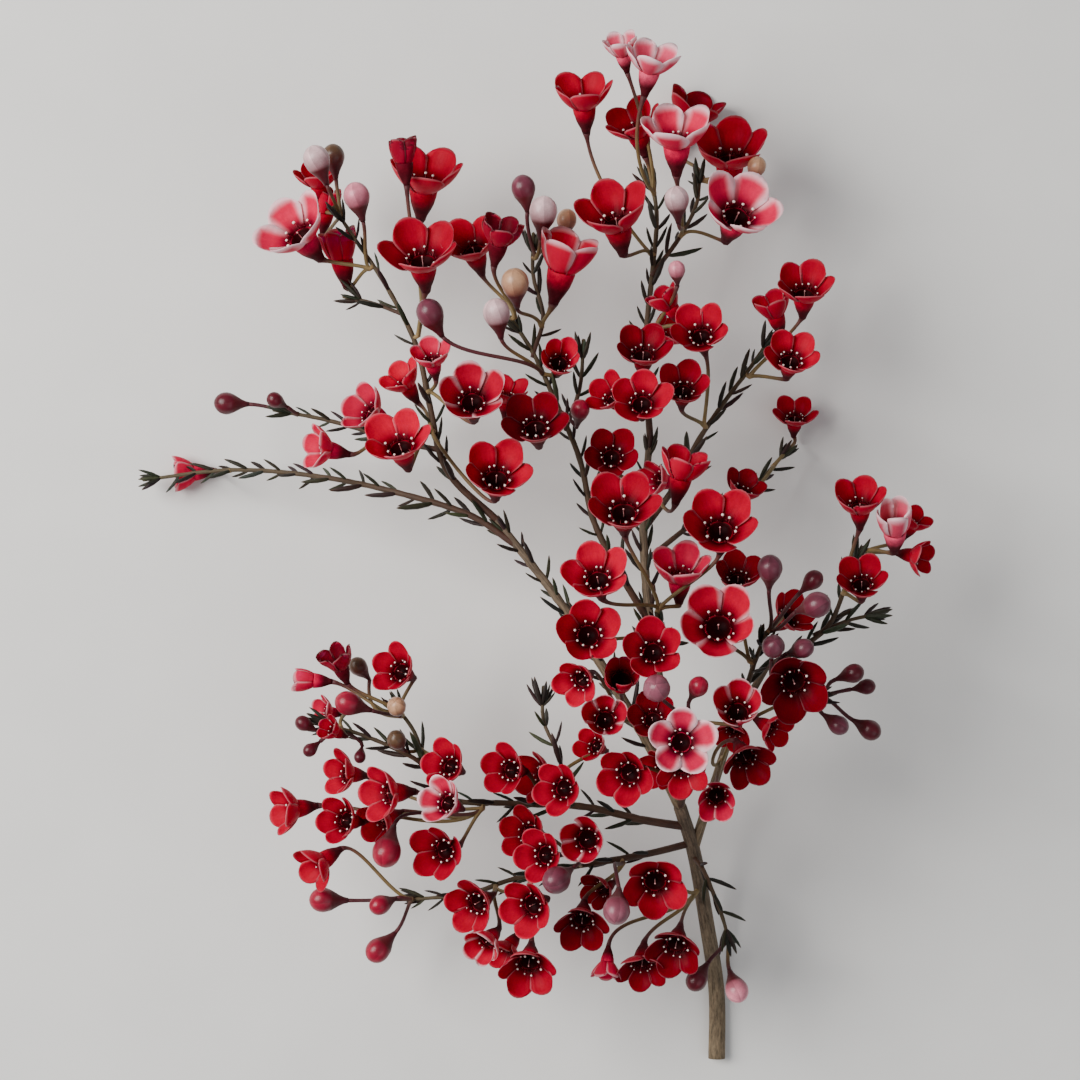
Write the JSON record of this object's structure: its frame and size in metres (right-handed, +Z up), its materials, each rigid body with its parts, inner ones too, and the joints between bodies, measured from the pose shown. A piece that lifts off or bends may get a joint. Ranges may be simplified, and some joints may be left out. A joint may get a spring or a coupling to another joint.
{
  "type": "cut waxflower stem",
  "caption": "Cut waxflower stem lying down: a forked woody stem with thin leafy shoots and loose bunches of small five-petalled red flowers and round buds.",
  "frame": {"origin": "centre of the bounding box, at the surface that the stem lies on", "axes": "+Z up from that surface, +Y from the cut end toward the top of the stem, +X to the right as seen from above"},
  "size_m": [0.2458, 0.3199, 0.1098],
  "materials": {
    "woody_bark": "matte",
    "leafy_shoot": "matte",
    "petals": "satin"
  },
  "bodies": {
    "root": {"woody_stem": "woody_bark", "left_tip_shoot": "leafy_shoot", "left_bud_shoot": "leafy_shoot", "upper_left_shoot": "leafy_shoot", "upper_middle_shoot": "leafy_shoot", "top_shoot": "leafy_shoot", "upper_right_shoot": "leafy_shoot", "far_right_shoot": "leafy_shoot", "right_shoot": "leafy_shoot", "right_bud_shoot": "leafy_shoot", "centre_shoot": "leafy_shoot", "centre_right_shoot": "leafy_shoot", "lower_centre_shoot": "leafy_shoot", "lower_left_shoot": "leafy_shoot", "lower_left_leafy_shoot": "leafy_shoot", "bottom_left_shoot": "leafy_shoot", "trailing_shoot": "leafy_shoot", "top_tip_bunch": "petals", "top_left_bunch": "petals", "top_back_bunch": "petals", "top_right_bunch": "petals", "top_foot_bunch": "petals", "left_crown_bunch": "petals", "left_pale_bunch": "petals", "left_tall_bunch": "petals", "middle_bunch": "petals", "middle_bud_bunch": "petals", "middle_cup_bunch": "petals", "middle_low_bunch": "petals", "left_side_bunch": "petals", "left_front_bunch": "petals", "left_upper_bunch": "petals", "middle_dark_bunch": "petals", "upper_bunch": "petals", "upper_right_bunch": "petals", "right_crown_bunch": "petals", "centre_back_bunch": "petals", "centre_bunch": "petals", "centre_left_bunch": "petals", "centre_low_bunch": "petals", "right_front_bunch": "petals", "right_bud_bunch": "petals", "right_dark_bunch": "petals", "far_right_bunch": "petals", "right_side_bunch": "petals", "front_bud_bunch": "petals", "front_bunch": "petals", "front_low_bunch": "petals", "front_right_bunch": "petals", "lower_crown_bunch": "petals", "lower_left_bunch": "petals", "lower_bright_bunch": "petals", "lower_front_bunch": "petals", "bottom_bud_bunch": "petals", "bottom_back_bunch": "petals", "bottom_middle_bunch": "petals", "bottom_tip_bunch": "petals", "bottom_low_bunch": "petals", "bottom_dark_bunch": "petals", "bottom_right_bunch": "petals"}
  },
  "joints": []
}
